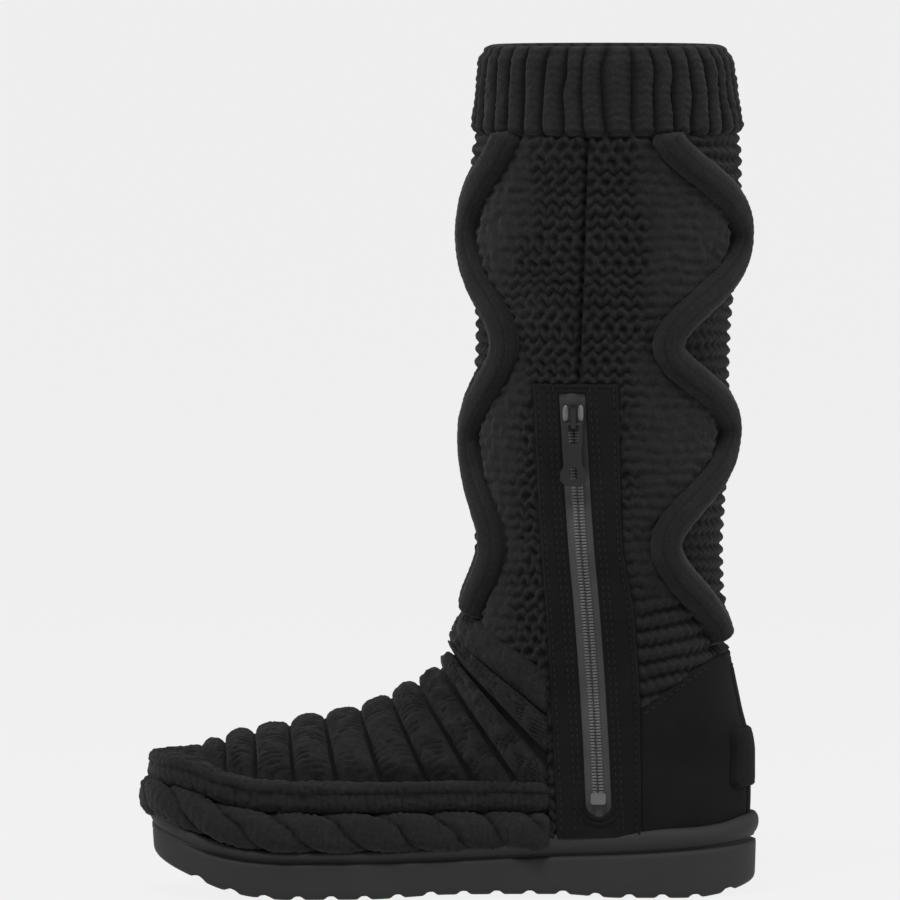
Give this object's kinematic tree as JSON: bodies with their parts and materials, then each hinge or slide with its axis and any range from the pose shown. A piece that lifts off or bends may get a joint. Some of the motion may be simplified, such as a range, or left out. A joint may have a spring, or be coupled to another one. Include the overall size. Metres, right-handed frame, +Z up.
{
  "type": "mukluk boot",
  "caption": "Tall knitted mukluk boot with padded cross welts, wavy cords, a ribbed cuff, a suede zip facing and a lugged foam sole, for the right foot",
  "frame": {"origin": "on the floor, under the middle of the boot's bounding box", "axes": "+X from toe to heel, +Y towards the outer side of the foot, +Z up"},
  "size_m": [0.2712, 0.1146, 0.3734],
  "materials": {
    "sole_foam": "matt black moulded foam and rubber",
    "lining_fleece": "black fleece",
    "knit_wool": "black chunky wool knit",
    "suede": "black suede",
    "tape_fabric": "dark grey woven tape",
    "coil_plastic": "dark grey nylon coil",
    "zip_metal": "black enamelled metal"
  },
  "bodies": {
    "boot": {"outsole": "sole_foam", "insole": "lining_fleece", "upper": "knit_wool", "foot_band": "knit_wool", "foot_braid": "knit_wool", "wave_cord_front_medial": "knit_wool", "wave_cord_back_medial": "knit_wool", "wave_cord_front_lateral": "knit_wool", "wave_cord_back_lateral": "knit_wool", "zip_facing": "suede", "zip_tape": "tape_fabric", "zip_chain": "coil_plastic", "zip_bottom_stop": "zip_metal", "zip_slider": "zip_metal", "heel_counter": "suede", "back_strip": "suede", "heel_patch": "suede"},
    "pull_tab": {"zip_pull": "zip_metal"}
  },
  "joints": [
    {"name": "pull_hinge", "type": "hinge", "parent": "boot", "child": "pull_tab", "pos_m": [0.05339, -0.05495, 0.2088], "axis": [-1, 0, 0], "range_deg": [0, 150]}
  ]
}
